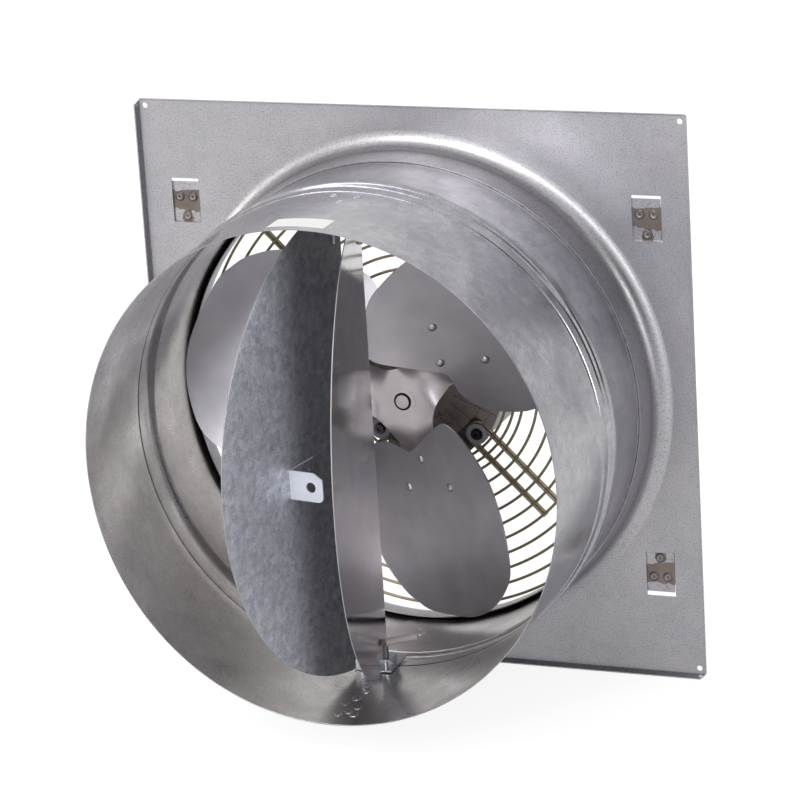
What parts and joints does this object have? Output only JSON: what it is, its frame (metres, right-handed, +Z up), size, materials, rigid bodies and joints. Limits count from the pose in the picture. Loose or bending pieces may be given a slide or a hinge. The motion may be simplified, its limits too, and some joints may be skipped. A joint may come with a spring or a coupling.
{
  "type": "ducted exhaust fan",
  "caption": "Square galvanised wall plate with a round duct, a motor-driven bladed impeller, a wire guard and two half-round butterfly dampers.",
  "frame": {"origin": "fan axis where it meets the wall plate's duct-side face, centre of the four wall bolt holes", "axes": "+Z up, -Y out of the outlet along the fan axis, +X to the right seen from the outlet"},
  "size_m": [0.506, 0.4918, 0.506],
  "materials": {
    "galvanised_plate": "galvanised sheet with fine spangle",
    "galvanised_duct": "galvanised sheet, rolled",
    "damper_sheet": "dull galvanised sheet",
    "blade_steel": "satin pressed steel",
    "hub_steel": "satin zinc-plated steel",
    "bright_zinc": "bright zinc-plated steel",
    "lug_zinc": "pale blue zinc-plated steel",
    "guard_wire": "dull passivated wire",
    "cast_shield": "rough die-cast face",
    "motor_sheet": "grey painted sheet",
    "machined_steel": "turned and ground steel",
    "laminations": "stacked electrical steel",
    "copper_windings": "varnished copper wire",
    "mount_rubber": "matt moulded rubber",
    "black_nylon": "matt nylon",
    "white_plastic": "capacitor can",
    "label_paper": "blank white label"
  },
  "bodies": {
    "frame": {"wall_plate": "galvanised_plate", "throat_ring": "galvanised_duct", "duct_rear_ring": "galvanised_duct", "duct_front": "galvanised_duct", "blank_label": "label_paper", "guard_rings": "guard_wire", "guard_arms": "guard_wire", "guard_clips": "bright_zinc", "mount_grommets": "mount_rubber", "mount_bolts": "bright_zinc", "mount_nuts": "bright_zinc", "motor_front_shield": "cast_shield", "motor_sleeve": "motor_sheet", "motor_rear_shield": "cast_shield", "motor_through_bolts": "bright_zinc", "stator_core": "laminations", "stator_windings": "copper_windings", "front_bearing": "machined_steel", "rear_bearing": "machined_steel", "terminal_box": "motor_sheet", "terminal_box_lid": "motor_sheet", "lid_screws": "bright_zinc", "run_capacitor": "white_plastic", "cable_gland": "black_nylon", "damper_top_bracket": "bright_zinc", "damper_bottom_bracket": "bright_zinc"},
    "impeller": {"motor_shaft": "machined_steel", "rotor_core": "laminations", "impeller_hub": "hub_steel", "hub_bush": "hub_steel", "hub_set_screw": "machined_steel", "blade_1": "blade_steel", "blade_2": "blade_steel", "blade_3": "blade_steel", "blade_rivets": "hub_steel"},
    "left_damper": {"damper_left": "damper_sheet", "damper_left_pins": "bright_zinc", "damper_left_stop_tube": "bright_zinc", "damper_lug": "lug_zinc", "lug_rivets": "bright_zinc"},
    "right_damper": {"damper_right": "damper_sheet", "damper_right_pins": "bright_zinc", "damper_right_stop_tube": "bright_zinc"}
  },
  "joints": [
    {"name": "impeller_spin", "type": "hinge", "parent": "frame", "child": "impeller", "pos_m": [0, 0, 0], "axis": [0, 1, 0], "continuous": true},
    {"name": "left_damper_swing", "type": "hinge", "parent": "frame", "child": "left_damper", "pos_m": [-0.011, -0.1485, 0], "axis": [0, 0, 1], "range_deg": [-80.7, 0]},
    {"name": "right_damper_swing", "type": "hinge", "parent": "frame", "child": "right_damper", "pos_m": [0.011, -0.1485, 0], "axis": [0, 0, 1], "range_deg": [-3.1, 77.6]}
  ]
}
